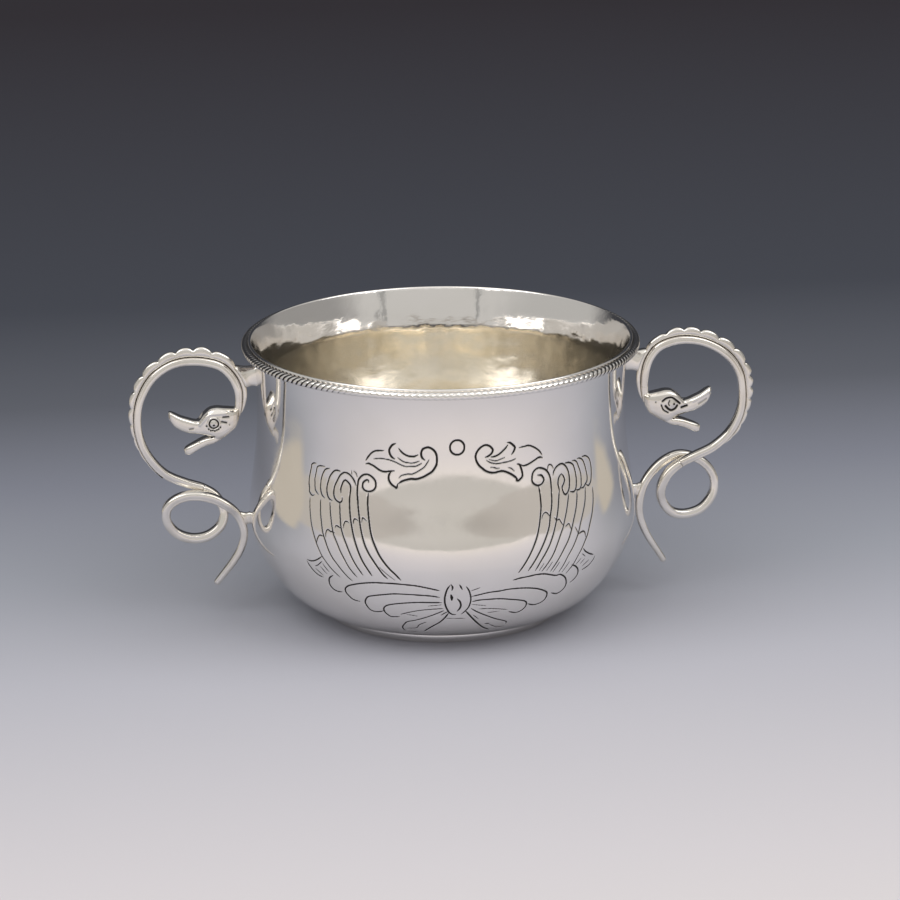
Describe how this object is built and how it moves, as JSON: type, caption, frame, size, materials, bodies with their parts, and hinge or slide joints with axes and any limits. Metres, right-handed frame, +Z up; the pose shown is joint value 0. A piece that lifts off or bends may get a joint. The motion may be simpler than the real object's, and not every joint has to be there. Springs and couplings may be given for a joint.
{
  "type": "silver caudle cup",
  "caption": "Bellied silver caudle cup with a gilt inside, an engraved front, a roped wire round the lip and scroll handles that end in birds' heads.",
  "frame": {"origin": "centre of the foot's underside, on the table", "axes": "+Z up, the handles along +X and -X, the engraved front facing -Y"},
  "size_m": [0.1587, 0.1, 0.0708],
  "materials": {
    "raised_silver": "hammered and polished sterling silver",
    "cast_silver": "cast and polished sterling silver"
  },
  "bodies": {
    "root": {"body_shell": "raised_silver", "rim_rope_wire": "raised_silver", "foot_ring": "raised_silver", "left_scroll_bar": "cast_silver", "left_crest_strip": "cast_silver", "left_bird_head": "cast_silver", "left_tail_loop": "cast_silver", "left_upper_lug": "cast_silver", "left_lower_lug": "cast_silver", "right_scroll_bar": "cast_silver", "right_crest_strip": "cast_silver", "right_bird_head": "cast_silver", "right_tail_loop": "cast_silver", "right_upper_lug": "cast_silver", "right_lower_lug": "cast_silver"}
  },
  "joints": []
}
